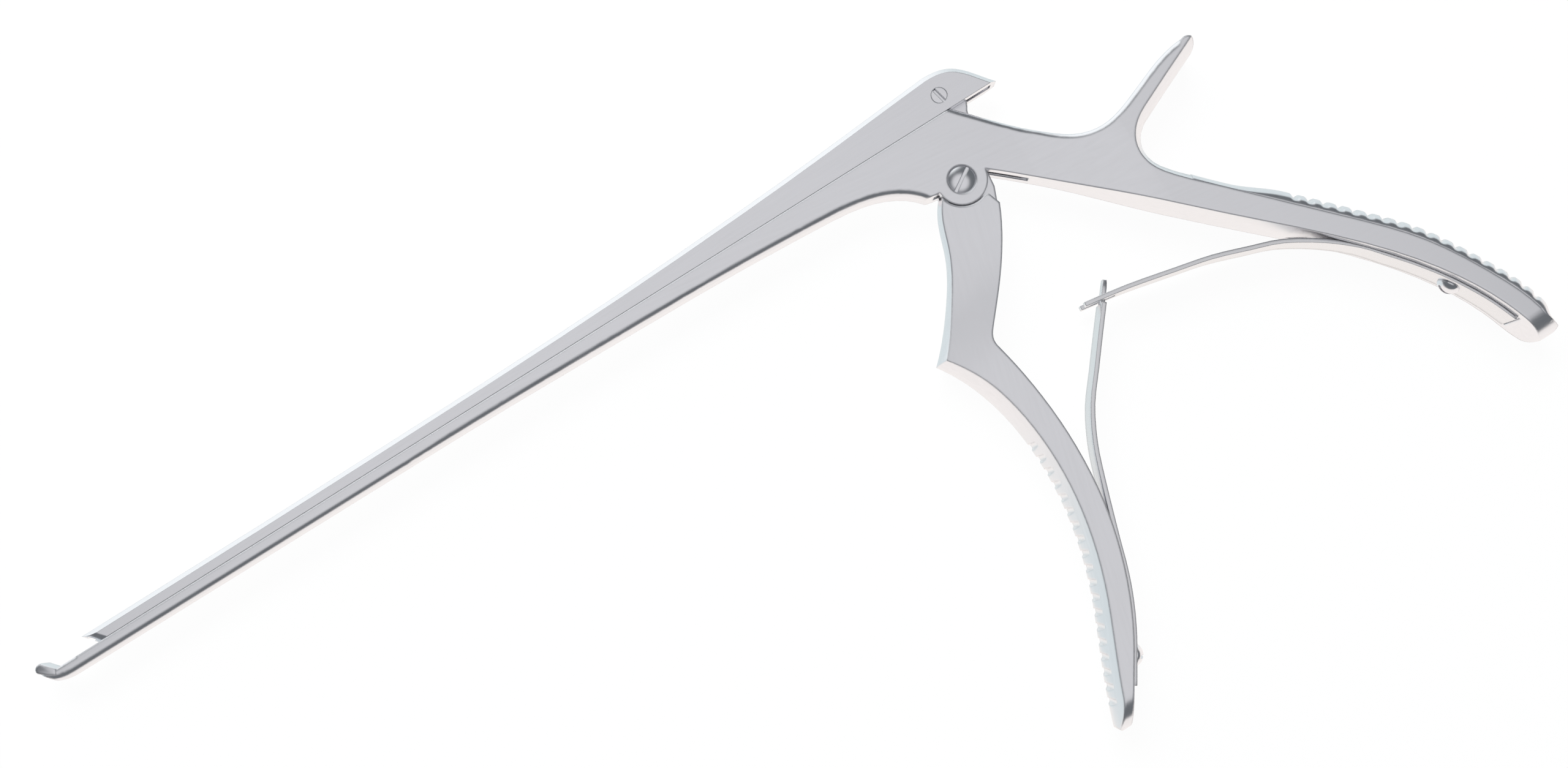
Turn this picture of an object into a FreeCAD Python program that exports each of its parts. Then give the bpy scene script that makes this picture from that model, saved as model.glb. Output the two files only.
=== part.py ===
"""A Kerrison rongeur: a bone punch with a 40 degree upward bite, lying on its side.

Drawn in millimetres with the pivot axis at x = y = 0 and the instrument's middle plane at z = 0.
+X runs along the shaft to the handles, +Y from the pivot to the slide, +Z out of the upper side.
The finished pieces are then moved together, so that the base of their common box holds the origin.
"""
import FreeCAD
import Part
import Sketcher
import math
import os

V = FreeCAD.Vector

SIZES = {
    # shaft and jaw
    "shaft_reach": 202.2,          # pivot axis to the foot of the slide's cutting rim, jaw open
    "jaw_opening": 9.6,            # cutting rim to footplate, along the shaft
    "jaw_gap_closed": 0.1,         # what stays open when the handles are closed
    "jaw_angle": 130.0,            # footplate to shaft, degrees
    "foot_length": 3.5,            # footplate, along its bite face
    "foot_thickness": 2.1,
    "parting_height": 14.1,        # pivot axis to the plane that parts slide and bar
    "bar_depth": 2.8,              # lower bar below the parting plane, at the jaw
    "slide_height": 3.15,          # slide above the parting plane, at the jaw
    "shaft_width": 5.0,            # across the shaft, at the jaw
    "body_width": 7.2,             # across the body and the rear of the slide
    "slide_crest": 8.9,            # slide above the parting plane, at its highest
    "slide_tail": 18.0,            # pivot axis to the slide's rear tip, jaw open
    "slide_chamfer": 1.8,          # down the side of the slide, along its top edges
    "slide_chamfer_width": 1.2,    # across the slide, along its top edges
    "rim_round": 2.0,              # depth of the rounding across the cutting rim
    "foot_round": 1.7,             # depth of the rounding across the footplate's tip
    "cup_width": 3.4,              # hollow in the slide's cutting front
    "cup_height": 1.3,
    "cup_depth": 4.5,
    "cup_floor": 0.85,             # parting plane to the cup
    "running_gap": 0.05,           # between faces that slide on each other
    "edge_reach": 3.0,             # how far an open cut runs past the face that it opens
    # rail of the slide
    "rail_neck": 1.4,
    "rail_width": 2.8,
    "rail_lip": 0.9,               # parting plane to the rail's head
    "rail_head": 0.8,              # height of the rail's head
    "rail_length": 24.0,           # each of the two T rails under the slide
    "front_rail": 12.0,            # cutting rim to the front end of each rail
    "rear_rail": 118.0,
    "rail_clear": 1.0,             # groove beyond the rail's travel, at each end
    # pivot, drive tongue and their screws
    "boss_radius": 5.5,
    "boss_gap": 0.3,               # boss to the recess in the front handle
    "tongue_width": 2.4,           # drive tongue, across the instrument
    "slot_gap": 0.1,               # on each side of the drive tongue
    "tongue_half": 5.3,            # half the tongue's depth, seen from the side
    "pin_height": 17.7,            # pivot axis to slide screw, square to the shaft
    "pin_offset": 5.8,             # pivot axis to slide screw, along the shaft, jaw open
    "tongue_end": 20.35,           # pivot axis to the tongue's rounded top
    "fork_gap": 0.15,              # slide screw to the walls of the tongue's fork
    "bearing_gap": 0.04,           # radial, where a piece turns on a screw
    "fit_gap": 0.02,               # radial, where a screw is held
    # screws: diameters, the rim and the dome of the head, and the seat's height above the middle plane
    "pivot_shank": 3.6,
    "pivot_head": 6.0,
    "pivot_seat": 2.0,
    "pivot_rim": 1.3,
    "pivot_dome": 0.7,
    "pin_shank": 2.4,
    "pin_head": 3.4,
    "pin_seat": 2.4,
    "pin_dome": 0.05,
    "leaf_screw_shank": 2.6,
    "leaf_screw_head": 4.8,
    "leaf_screw_rim": 0.3,
    "leaf_screw_dome": 1.5,
    "leaf_screw_length": 5.0,      # under the head
    "driver_width": 0.7,           # slot of each screw
    "driver_depth": 0.8,
    "blind_gap": 0.2,              # screw's end to the floor of its hole
    # handles and grips
    "grip_width": 12.6,
    "crown_depth": 2.1,            # rise of the grip's back above its side faces
    "end_round": 6.2,              # depth of the rounding across a handle's end
    "rear_end": 93.3,              # pivot axis to the rear handle's end, square to the shaft
    "front_end": 113.4,            # pivot axis to the front handle's end
    "tooth_count": 19,
    "tooth_pitch": 3.05,
    "tooth_depth": 0.9,
    "tooth_root": 0.8,             # width of the groove between two teeth, at its floor
    "tooth_mouth": 1.6,            # and at the crest
    "bar_round": 1.6,              # fillets
    "body_round": 1.2,
    # leaf springs
    "leaf_thickness": 1.0,
    "leaf_width": 7.4,
    "leaf_tongue": 2.8,            # the front leaf's end, which passes through the fork
    "leaf_fork_gap": 0.35,         # on each side of that end
    "fork_length": 7.4,            # fork of the rear leaf, from its tip
    "leaf_tongue_length": 5.2,     # narrow end of the front leaf
    "leaf_seat": 0.06,             # leaf to the face that it lies on
    "channel_depth": 0.5,          # channel in the rear handle, under the leaf
    "channel_gap": 0.3,            # on each side of the leaf
    "channel_end": 4.0,            # handle's end to the channel, along its inner face
    "channel_length": 46.0,
    "rear_leaf_end": 4.6,          # handle's end to the leaf's end
    "rear_screw_place": 19.3,      # handle's end to the screw
    "rear_contact": 40.0,          # handle's end to where the leaf leaves the handle
    "front_leaf_end": 8.1,
    "front_screw_place": 14.2,
    "front_contact": 38.0,
}


# Sizes that follow from the others. Angles are in degrees.
FORMULAS = {
    "bite_reach": "=shaft_reach + jaw_opening",
    "foot_top": "=bite_reach - foot_length * cos(jaw_angle)",
    "foot_height": "=parting_height + foot_length * sin(jaw_angle)",
    "bar_bottom": "=parting_height - bar_depth",
    "shaft_half": "=shaft_width / 2",
    "body_half": "=body_width / 2",
    "grip_half": "=grip_width / 2",
    "tongue_slot": "=tongue_width + 2 * slot_gap",
    "channel_width": "=leaf_width + 2 * channel_gap",
    "groove_neck": "=rail_neck + 2 * running_gap",
    "groove_width": "=rail_width + 2 * running_gap",
    "slide_travel": "=jaw_opening - jaw_gap_closed",
    "tongue_angle": "=atan(pin_offset / pin_height)",
    "closing_angle": "=tongue_angle - atan((pin_offset - slide_travel) / pin_height)",
    "recess_radius": "=boss_radius + boss_gap",
    "pivot_radius": "=pivot_shank / 2",
    "pivot_head_radius": "=pivot_head / 2",
    "pivot_hold": "=pivot_radius + fit_gap",
    "pivot_turn": "=pivot_radius + bearing_gap",
    "pivot_sink": "=pivot_head_radius + fit_gap",
    "pivot_length": "=body_half + pivot_seat",
    "pin_radius": "=pin_shank / 2",
    "pin_head_radius": "=pin_head / 2",
    "pin_hold": "=pin_radius + fit_gap",
    "pin_sink": "=pin_head_radius + fit_gap",
    "pin_rim": "=body_half - pin_seat",
    "pin_length": "=body_half + pin_seat",
    "fork_radius": "=pin_radius + fork_gap",
    "leaf_screw_radius": "=leaf_screw_shank / 2",
    "leaf_screw_head_radius": "=leaf_screw_head / 2",
    "leaf_screw_hold": "=leaf_screw_radius + fit_gap",
    "leaf_fork": "=leaf_tongue + 2 * leaf_fork_gap",
    "slide_base": "=parting_height + running_gap",
    "slide_front": "=parting_height + slide_height",
    "slide_top": "=parting_height + slide_crest",
}


def spreadsheet(doc):
    """Keeps the sizes in a sheet, one alias for each."""
    sheet = doc.addObject("Spreadsheet::Sheet", "sizes")
    for row, (alias, value) in enumerate({**SIZES, **FORMULAS}.items(), start=1):
        sheet.set(f"A{row}", alias)
        sheet.set(f"B{row}", str(value))
        sheet.setAlias(f"B{row}", alias)
    doc.recompute()
    return sheet


doc = FreeCAD.newDocument("kerrison_rongeur")
sheet = spreadsheet(doc)


def size(alias):
    return float(sheet.get(alias))


def measure(words):
    """The value of a sum of sizes, such as "shaft_reach + jaw_opening"; plain numbers pass through."""
    if not isinstance(words, str):
        return float(words)
    total, sign = 0.0, 1.0
    for word in words.split():
        if word in ("+", "-"):
            sign = 1.0 if word == "+" else -1.0
        else:
            total += sign * size(word)
            sign = 1.0
    return total


def expression(words):
    """The same sum as a cell expression."""
    return " ".join(word if word in ("+", "-") else f"sizes.{word}" for word in words.split())


def new_body(label):
    body = doc.addObject("PartDesign::Body", label)
    body.Label = label
    return body


def new_sketch(body, name, role="XY_Plane"):
    sketch = body.newObject("Sketcher::SketchObject", name)
    plane = next(item for item in body.Origin.OriginFeatures if item.Role == role)
    sketch.AttachmentSupport = [(plane, "")]
    sketch.MapMode = "FlatFace"
    return sketch


def pin(sketch, edge, end, point):
    """Ties one end of an edge to the sizes that its coordinates name."""
    for kind, words in zip(("DistanceX", "DistanceY"), point):
        if isinstance(words, str):
            index = sketch.addConstraint(Sketcher.Constraint(kind, -1, 1, edge, end, measure(words)))
            sketch.setExpression(f"Constraints[{index}]", expression(words))


def outline(sketch, start, *steps):
    """Draws a closed outline and returns its edges.

    A step is a point (line), ("arc", middle, end), ("curve", points) or ("smooth", points), which
    leaves and meets its neighbours without a corner.
    """
    def place(point):
        return V(measure(point[0]), measure(point[1]), 0)

    steps = list(steps) + [start]
    ends = [step[-1][-1] if step[0] in ("curve", "smooth") else step[-1] if step[0] == "arc" else step
            for step in steps]
    starts = [start] + ends[:-1]
    shapes = []
    for step, here, there in zip(steps, starts, ends):
        if step[0] == "arc":
            shapes.append(Part.Arc(place(here), place(step[1]), place(there)))
        elif step[0] in ("curve", "smooth"):
            shapes.append(None)
        elif (place(there) - place(here)).Length > 1e-6:
            shapes.append(Part.LineSegment(place(here), place(there)))
        else:
            shapes.append("closed")
    if shapes[-1] == "closed":
        steps, starts, ends, shapes = steps[:-1], starts[:-1], ends[:-1], shapes[:-1]

    def heading(shape, point):
        """Direction of travel along a finished neighbour, at the end that holds a point."""
        if shape is None:
            return None
        way = shape.tangent(shape.parameter(point))[0]
        turned = (shape.value(shape.FirstParameter) - place(starts[shapes.index(shape)])).Length > 1e-6
        return way * (-1 if turned else 1)

    for number, step in enumerate(steps):
        if step[0] in ("curve", "smooth"):
            curve = Part.BSplineCurve()
            points = [place(starts[number])] + [place(point) for point in step[1]]
            before = heading(shapes[number - 1], points[0])
            after = heading(shapes[(number + 1) % len(shapes)], points[-1])
            if step[0] == "curve":
                curve.interpolate(points)
            elif before and after:
                curve.interpolate(Points=points, InitialTangent=before, FinalTangent=after)
            else:
                raise RuntimeError("a smooth step lies between lines and arcs")
            shapes[number] = curve
    edges = []
    for shape, here in zip(shapes, starts):
        edge = sketch.addGeometry(shape, False)
        edges.append((edge, (place(here) - sketch.getPoint(edge, 1)).Length > 1e-6, here))
    for (edge, backwards, point), (following, turned, _) in zip(edges, edges[1:] + edges[:1]):
        sketch.addConstraint(Sketcher.Constraint("Coincident", edge, 1 if backwards else 2,
                                                 following, 2 if turned else 1))
        pin(sketch, edge, 2 if backwards else 1, point)
    return [shape.toShape() for shape in shapes]


def rectangle(sketch, left, right, low, high):
    """An upright rectangle between named sizes."""
    return outline(sketch, (left, low), (right, low), (right, high), (left, high))


def bends(*points):
    """Steps along a smooth line through points: two arcs that meet without a corner from each to the next."""
    places = [V(measure(x), measure(y), 0) for x, y in points]
    line = Part.BSplineCurve()
    line.interpolate(places)
    ways = [V(line.tangent(line.parameter(place))[0]) for place in places]

    def arc(start, way, end):
        """The middle of the arc that leaves a point in a direction and reaches another point."""
        chord = end - start
        turn = math.atan2(way.x * chord.y - way.y * chord.x, way.dot(chord))
        return start + chord / 2 + V(chord.y, -chord.x, 0) / 2 * math.tan(turn / 2)

    steps = []
    for here, there, way, onward, point in zip(places, places[1:], ways, ways[1:], points[1:]):
        span, both = there - here, way + onward
        bend = 2 * (1 - way.dot(onward))
        if bend > 1e-9:
            reach = (math.sqrt(span.dot(both) ** 2 + bend * span.dot(span)) - span.dot(both)) / bend
        else:
            reach = span.dot(span) / (2 * span.dot(both))
        joint = (here + there + (way - onward) * reach) / 2
        for middle, end in ((arc(here, way, joint), (joint.x, joint.y)), (arc(there, -onward, joint), point)):
            steps.append(("arc", (middle.x, middle.y), end))
    return steps


def pad(body, sketch, width, name):
    """Pads a sketch by the same amount to both sides."""
    feature = body.newObject("PartDesign::Pad", name)
    feature.Profile = sketch
    feature.SideType = "Symmetric"
    feature.Length = measure(width)
    feature.setExpression("Length", expression(width))
    doc.recompute()
    return feature


def cut(body, sketch, name, width=None):
    """Cuts a sketch out, to both sides: all the way, or over a width."""
    before = body.Shape.Volume
    feature = body.newObject("PartDesign::Pocket", name)
    feature.Profile = sketch
    feature.SideType = "Symmetric"
    if width is None:
        feature.Type = "ThroughAll"
    else:
        feature.Length = measure(width)
        feature.setExpression("Length", expression(width))
    doc.recompute()
    if feature.Shape.isNull() or feature.Shape.Volume > before - 1e-3:
        raise RuntimeError(f"{name} cuts nothing from {body.Label}")
    return feature


def plan(sketch, start, *steps, reach=20.0):
    """What lies outside a plan view, on each side of the middle plane: steps as in an outline."""
    for side in (1, -1):
        def at(row):
            return row[0], side * measure(row[1])
        drawn = [(step[0], [at(row) for row in step[1]]) if isinstance(step[1], list) else at(step)
                 for step in steps]
        outline(sketch, at(start), *drawn, (drawn[-1][0], side * reach), (start[0], side * reach))


def edges_on(body, curves, least=0.5):
    """Names of the edges that lie over or under some of an outline's curves, off the middle plane."""
    names = []
    for number, edge in enumerate(body.Shape.Edges, start=1):
        middle = edge.valueAt((edge.FirstParameter + edge.LastParameter) / 2)
        if abs(middle.z) < least:
            continue
        spot = Part.Vertex(middle.x, middle.y, 0)
        if any(spot.distToShape(curve)[0] < 0.01 for curve in curves):
            names.append(f"Edge{number}")
    return names


def dress(body, kind, name, edges, **sizes):
    """A fillet or chamfer along named edges, with its sizes tied to the sheet."""
    base = body.Tip
    feature = body.newObject(f"PartDesign::{kind}", name)
    feature.Base = (base, edges)
    if len(sizes) == 2:
        feature.ChamferType = "Two distances"
    for key, words in sizes.items():
        feature.setExpression(key, expression(words))
    doc.recompute()
    return feature


def beside(curve, length, offset):
    """The point at a length along a curve, moved to its left by an offset."""
    where = curve.getParameterByLength(length)
    heading = curve.tangentAt(where)
    return curve.valueAt(where) + V(-heading.y, heading.x, 0) * offset


def crown(body, name, points, lead, tail):
    """Rounds a grip's back across: an arc section, swept along the crest with the outside to its right."""
    path = new_sketch(body, name + "_path")
    curve = Part.BSplineCurve()
    curve.interpolate([V(x, y, 0) for x, y in points])
    first, last = curve.FirstParameter, curve.LastParameter
    start, way = curve.value(first), curve.tangent(first)[0]
    finish, onward = curve.value(last), curve.tangent(last)[0]
    origin = start - way * lead
    path.addGeometry([Part.LineSegment(origin, start), curve, Part.LineSegment(finish, finish + onward * tail)],
                     False)
    path.addConstraint([Sketcher.Constraint("Coincident", 0, 2, 1, 1),
                        Sketcher.Constraint("Coincident", 1, 2, 2, 1)])
    section = new_sketch(body, name + "_section", "XZ_Plane")
    outward = V(way.y, -way.x, 0)
    turn = FreeCAD.Rotation(V(0, 1, 0), math.degrees(math.atan2(outward.y, outward.x)))
    section.AttachmentOffset = FreeCAD.Placement(V(origin.x, 0, -origin.y), turn)
    half, depth, clear = size("grip_half"), size("crown_depth"), 1.0
    radius = (half ** 2 + depth ** 2) / (2 * depth)
    edge = half + clear
    low = radius - math.sqrt(radius ** 2 - edge ** 2)
    outline(section, (-low, -edge), ("arc", (0.0, 0.0), (-low, edge)), (clear, edge), (clear, -edge))
    doc.recompute()
    before = body.Shape.Volume
    sweep = body.newObject("PartDesign::SubtractivePipe", name)
    sweep.Profile = section
    sweep.Spine = (path, ["Edge1", "Edge2", "Edge3"])
    sweep.Mode = "Binormal"
    sweep.Binormal = V(0, 0, 1)
    doc.recompute()
    if sweep.Shape.isNull() or sweep.Shape.Volume > before - 1e-3:
        raise RuntimeError(f"{name} cuts nothing from {body.Label}")
    return sweep


def rounded_end(body, sketch, name, tip, half, depth, width=None):
    """Rounds an end across the instrument: cuts away what lies outside an arc through the tip."""
    sign = 1 if tip > 0 else -1
    inner, clear = tip - sign * depth, tip + sign * size("edge_reach")
    far = half + size("edge_reach")
    outline(sketch, (inner, half), ("arc", (tip, 0.0), (inner, -half)), (inner, -far), (clear, -far),
            (clear, far), (inner, far))
    return cut(body, sketch, name, width)


def teeth(body, name, crest, start):
    """Grooves across a grip's back, from a length along its crest; the outside is to the right."""
    sketch = new_sketch(body, name)
    root, mouth, depth = size("tooth_root") / 2, size("tooth_mouth") / 2, size("tooth_depth")
    flare = (mouth - root) / depth
    corners = [(mouth + flare, -1.0), (root, depth), (-root, depth), (-mouth - flare, -1.0)]
    for number in range(int(size("tooth_count"))):
        middle = start + number * size("tooth_pitch")
        way = crest.tangentAt(crest.getParameterByLength(middle))
        spots = [beside(crest, middle, up) + way * across for across, up in corners]
        outline(sketch, *[(spot.x, spot.y) for spot in spots])
    return cut(body, sketch, name + "_cut")


def bore(body, name, role, offset, *rows):
    """Turns a stepped hole about an axis along the sketch's Y: rows of radius and height."""
    before = body.Shape.Volume
    sketch = new_sketch(body, name, role)
    sketch.AttachmentOffset = offset
    outline(sketch, (0.0, rows[0][1]), *rows, (0.0, rows[-1][1]))
    feature = body.newObject("PartDesign::Groove", name + "_cut")
    feature.Profile = sketch
    feature.ReferenceAxis = (sketch, ["V_Axis"])
    feature.Angle = 360
    doc.recompute()
    if feature.Shape.isNull() or feature.Shape.Volume > before - 1e-3:
        raise RuntimeError(f"{name} cuts nothing from {body.Label}")
    return feature


def screw(label, kind, slot_angle):
    """A slotted screw about its own Z axis, with the seat of its head at z = 0."""
    body = new_body(label)
    sketch = new_sketch(body, label + "_section", "XZ_Plane")
    radius, rim, dome = size(kind + "_head_radius"), size(kind + "_rim"), size(kind + "_dome")
    ball = (radius ** 2 + dome ** 2) / (2 * dome)
    lean = math.asin(radius / ball) / 2
    outline(sketch, (0.0, f"- {kind}_length"), (f"{kind}_radius", f"- {kind}_length"), (f"{kind}_radius", 0.0),
            (f"{kind}_head_radius", 0.0), (f"{kind}_head_radius", f"{kind}_rim"),
            ("arc", (ball * math.sin(lean), rim + dome - ball + ball * math.cos(lean)),
             (0.0, f"{kind}_rim + {kind}_dome")))
    turned = body.newObject("PartDesign::Revolution", label + "_turned")
    turned.Profile = sketch
    turned.ReferenceAxis = (sketch, ["V_Axis"])
    turned.Angle = 360
    doc.recompute()
    groove = new_sketch(body, label + "_driver", "XZ_Plane")
    half, top = size("driver_width") / 2, rim + dome
    groove.AttachmentOffset = FreeCAD.Placement(V(0, 0, 0), FreeCAD.Rotation(V(0, 1, 0), slot_angle))
    outline(groove, (-half, top - size("driver_depth")), (half, top - size("driver_depth")), (half, top + 1.0),
            (-half, top + 1.0))
    cut(body, groove, label + "_driver_cut")
    return body


def band(body, line, width):
    """A leaf: an even thickness about a middle line of arcs, padded to its width."""
    half = size("leaf_thickness") / 2
    here = V(*line[0], 0)
    arcs = []
    for _, middle, end in bends(*line):
        arcs.append(Part.Arc(here, V(*middle, 0), V(*end, 0)).toShape())
        here = V(*end, 0)

    def spot(arc, share, offset):
        place = beside(arc, arc.Length * share, offset)
        return place.x, place.y

    out = [("arc", spot(arc, 0.5, half), spot(arc, 1.0, half)) for arc in arcs]
    back = [("arc", spot(arc, 0.5, -half), spot(arc, 0.0, -half)) for arc in reversed(arcs)]
    side = new_sketch(body, body.Label + "_side")
    outline(side, spot(arcs[0], 0.0, half), *out, spot(arcs[-1], 1.0, -half), *back)
    pad(body, side, width, body.Label + "_band")


def upright(curve, length, offset):
    """A place beside a curve, turned so that its Y points to the curve's left."""
    spot = beside(curve, length, offset)
    away = beside(curve, length, offset + 1.0) - spot
    return FreeCAD.Placement(spot, FreeCAD.Rotation(V(0, 1, 0), away))


def fixed_handle():
    """Body, rear handle with spur, lower bar and footplate: one forging."""
    body = new_body("fixed_handle")
    bite, parting, bottom = size("bite_reach"), size("parting_height"), size("bar_bottom")
    lean = math.radians(size("jaw_angle"))
    along = V(math.cos(lean), math.sin(lean), 0)
    out = V(-along.y, along.x, 0) * size("foot_thickness")
    tip = V(-size("foot_top"), size("foot_height"), 0)
    crown_point = tip + out * 0.5 + along * 0.5
    outer = tip + out
    heel = V(-bite, parting, 0) + out * 1.1 - along * 0.9
    boss = size("boss_radius")
    boss_end = math.radians(-8)
    bar = [(-100.0, 10.7), (-75.7, 10.1), (-50.0, 9.3), (-30.0, 8.1), (-20.0, 6.9), (-14.2, 4.9), (-8.7, 0.5)]
    back = [(87.8, -90.3), (86.5, -83.5), (83.1, -75.3), (74.8, -60.9), (64.2, -48.7), (53.3, -37.2),
            (44.9, -28.3), (38.5, -21.4), (36.3, -17.7), (36.3, -14.3), (38.3, -11.4), (42.7, -9.0),
            (49.0, -6.2), (56.2, -3.1)]
    saddle = [(43.6, -2.6), (37.0, -5.1), (31.0, -6.3), (26.0, -5.1), (20.9, -1.3), (15.0, 4.5),
              (6.5, "parting_height")]

    side = new_sketch(body, "fixed_side")
    drawn = outline(
        side, ("- bite_reach", "parting_height"), ("- foot_top", "foot_height"),
        ("arc", (crown_point.x, crown_point.y), (outer.x, outer.y)), (heel.x, heel.y),
        ("arc", (-bite - 0.35, bottom + 0.35), (-bite + 2.5, "bar_bottom")),
        (-130.0, 11.0),
        ("curve", bar),
        (-6.4, 0.1), ("- boss_radius", 0.0),
        ("arc", (0.0, -boss), (boss * math.cos(boss_end), boss * math.sin(boss_end))),
        ("curve", [(16.1, -10.5), (41.6, -35.8), (58.1, -52.0), (72.5, -69.2), (78.9, -80.6), (82.2, -90.8)]),
        ("arc", (85.1, -93.6), back[0]),
        ("curve", back[1:]),
        ("arc", (57.0, -1.0), (55.1, 0.2)),
        ("curve", saddle),
    )
    bar_edges, underside, crest, top = drawn[3:6], drawn[9], drawn[11], drawn[13]
    pad(body, side, "grip_width", "fixed_blank")
    top_view = new_sketch(body, "fixed_plan", "XZ_Plane")
    plan(top_view, (-230.0, "shaft_half"), ("- bite_reach", "shaft_half"), (-20.0, "body_half"),
         (14.0, "body_half"), ("smooth", [(24.0, 4.9), (34.0, "grip_half")]), (100.0, "grip_half"))
    cut(body, top_view, "fixed_thickness")
    dress(body, "Fillet", "bar_fillet", edges_on(body, bar_edges), Radius="bar_round")
    dress(body, "Fillet", "body_fillet", edges_on(body, [top]), Radius="body_round")
    slot = new_sketch(body, "tongue_slot_side")
    outline(slot, (-10.4, "parting_height + edge_reach"), (-10.4, "parting_height"), (-6.7, 2.0), (-6.7, -8.0),
            (9.5, -12.0), (12.6, -7.0), (13.4, 3.0), (15.5, "parting_height + edge_reach"))
    cut(body, slot, "tongue_slot_cut", "tongue_slot")
    for place in ("front_rail", "rear_rail"):
        front = f"- shaft_reach + {place} - slide_travel - rail_clear"
        rear = f"- shaft_reach + {place} + rail_length + rail_clear"
        entry = rear + " + rail_length + rail_clear"
        neck = new_sketch(body, place + "_neck")
        rectangle(neck, front, rear, "parting_height - rail_lip", "parting_height + edge_reach")
        cut(body, neck, place + "_neck_cut", "groove_neck")
        under = new_sketch(body, place + "_head")
        rectangle(under, front, entry, "parting_height - rail_lip - rail_head - running_gap",
                  "parting_height - rail_lip + running_gap")
        cut(body, under, place + "_head_cut", "groove_width")
        way_in = new_sketch(body, place + "_entry")
        rectangle(way_in, rear, entry, "parting_height - rail_lip", "parting_height + edge_reach")
        cut(body, way_in, place + "_entry_cut", "groove_width")

    bore(body, "pivot_bore", "XZ_Plane", FreeCAD.Placement(),
         ("pivot_hold", "- body_half - edge_reach"), ("pivot_hold", "pivot_seat - fit_gap"),
         ("pivot_sink", "pivot_seat - fit_gap"), ("pivot_sink", "body_half + edge_reach"))
    start = underside.Length - size("channel_end")
    stations = [start - size("channel_length") * number / 6 for number in range(7)]
    deep = [beside(underside, station, size("channel_depth")) for station in stations]
    air = [beside(underside, station, -2.0) for station in reversed(stations)]
    ramp = beside(underside, stations[-1] - 5.0, -0.1)
    channel = new_sketch(body, "channel_side")
    outline(channel, (deep[0].x, deep[0].y), ("curve", [(spot.x, spot.y) for spot in deep[1:]]),
            (ramp.x, ramp.y), (air[0].x, air[0].y), ("curve", [(spot.x, spot.y) for spot in air[1:]]))
    cut(body, channel, "channel_cut", "channel_width")
    screw_place = underside.Length - size("rear_screw_place")
    bore(body, "rear_leaf_bore", "XY_Plane", upright(underside, screw_place, size("channel_depth")),
         ("leaf_screw_hold", -3.0), ("leaf_screw_hold", "leaf_screw_length - leaf_thickness + blind_gap"))
    crown(body, "fixed_crown", back, 6.0, 5.0)
    rounded_end(body, new_sketch(body, "rear_end_view", "YZ_Plane"), "rear_end_cut", -size("rear_end"),
                size("grip_half"), size("end_round"))
    foot_view = new_sketch(body, "foot_tip_view", "YZ_Plane")
    foot_view.AttachmentOffset = FreeCAD.Placement(V(0, 0, -bite), FreeCAD.Rotation())
    rounded_end(body, foot_view, "foot_tip_cut", outer.y, size("shaft_half"), size("foot_round"), "jaw_opening")
    teeth(body, "fixed_teeth", crest, 6.0)
    return underside


def slide():
    """Upper bar with the cutting cup at its front and the tongue's slot at its rear."""
    body = new_body("slide")
    lean = math.radians(size("jaw_angle"))
    nose = -size("shaft_reach") + (size("slide_height") - size("running_gap")) / math.tan(lean)
    side = new_sketch(body, "slide_side")
    back = [(-126.8, 17.5), (-101.2, 17.75), (-75.6, 18.3), (-49.9, 19.3), (-23.9, 20.8), (-5.9, 22.2),
            (4.6, "slide_top")]
    tail = [(7.7, 22.85), (9.9, 22.3), (11.8, 21.3), (13.6, 19.7), (16.2, 16.4), ("slide_tail", "slide_base")]
    drawn = outline(side, ("- shaft_reach", "slide_base"), (nose, "slide_front"), (-160.0, "slide_front"),
                    ("curve", back), ("curve", tail))
    pad(body, side, "body_width", "slide_blank")
    top_view = new_sketch(body, "slide_plan", "XZ_Plane")
    plan(top_view, (-230.0, "shaft_half"), ("- bite_reach", "shaft_half"), (-20.0, "body_half"),
         (30.0, "body_half"))
    cut(body, top_view, "slide_thickness")
    dress(body, "Chamfer", "slide_bevel", edges_on(body, drawn[1:4]), Size="slide_chamfer",
          Size2="slide_chamfer_width")
    for place in ("front_rail", "rear_rail"):
        front, rear = f"- shaft_reach + {place}", f"- shaft_reach + {place} + rail_length"
        neck = new_sketch(body, place + "_neck")
        rectangle(neck, front, rear, "parting_height - rail_lip - rail_head", "slide_base + rail_head")
        pad(body, neck, "rail_neck", place + "_neck_pad")
        under = new_sketch(body, place + "_head")
        rectangle(under, front, rear, "parting_height - rail_lip - rail_head", "parting_height - rail_lip")
        pad(body, under, "rail_width", place + "_head_pad")
    pin = size("pin_offset")
    slot = new_sketch(body, "slide_slot_side")
    outline(slot, (pin - 7.6, "parting_height - edge_reach"), (pin - 7.6, "slide_base"),
            (pin - 5.5, "tongue_end + boss_gap"), (pin + 4.4, "tongue_end + boss_gap"), (15.2, 15.5),
            (16.8, 14.7), (16.8, "parting_height - edge_reach"))
    cut(body, slot, "slide_slot_cut", "tongue_slot")
    bore(body, "pin_bore", "XZ_Plane", FreeCAD.Placement(V(pin, 0, -size("pin_height")), FreeCAD.Rotation()),
         ("pin_hold", "- body_half - edge_reach"), ("pin_hold", "pin_seat - fit_gap"),
         ("pin_sink", "pin_seat - fit_gap"), ("pin_sink", "body_half + edge_reach"))
    cup = new_sketch(body, "cup_side")
    rectangle(cup, "- bite_reach", "- shaft_reach + cup_depth", "slide_base + cup_floor",
              "slide_base + cup_floor + cup_height")
    cut(body, cup, "cup_cut", "cup_width")
    front = new_sketch(body, "rim_view", "XZ_Plane")
    front.AttachmentOffset = FreeCAD.Placement(V(-size("shaft_reach"), 0, -size("slide_base")),
                                               FreeCAD.Rotation(V(0, 1, 0), size("jaw_angle") - 90))
    depth, half, far = size("rim_round"), size("shaft_half"), size("shaft_half") + size("edge_reach")
    outline(front, (depth, half), ("arc", (0.0, 0.0), (depth, -half)), (depth, -far), (-far, -far), (-far, far),
            (depth, far))
    cut(body, front, "rim_cut")


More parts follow.
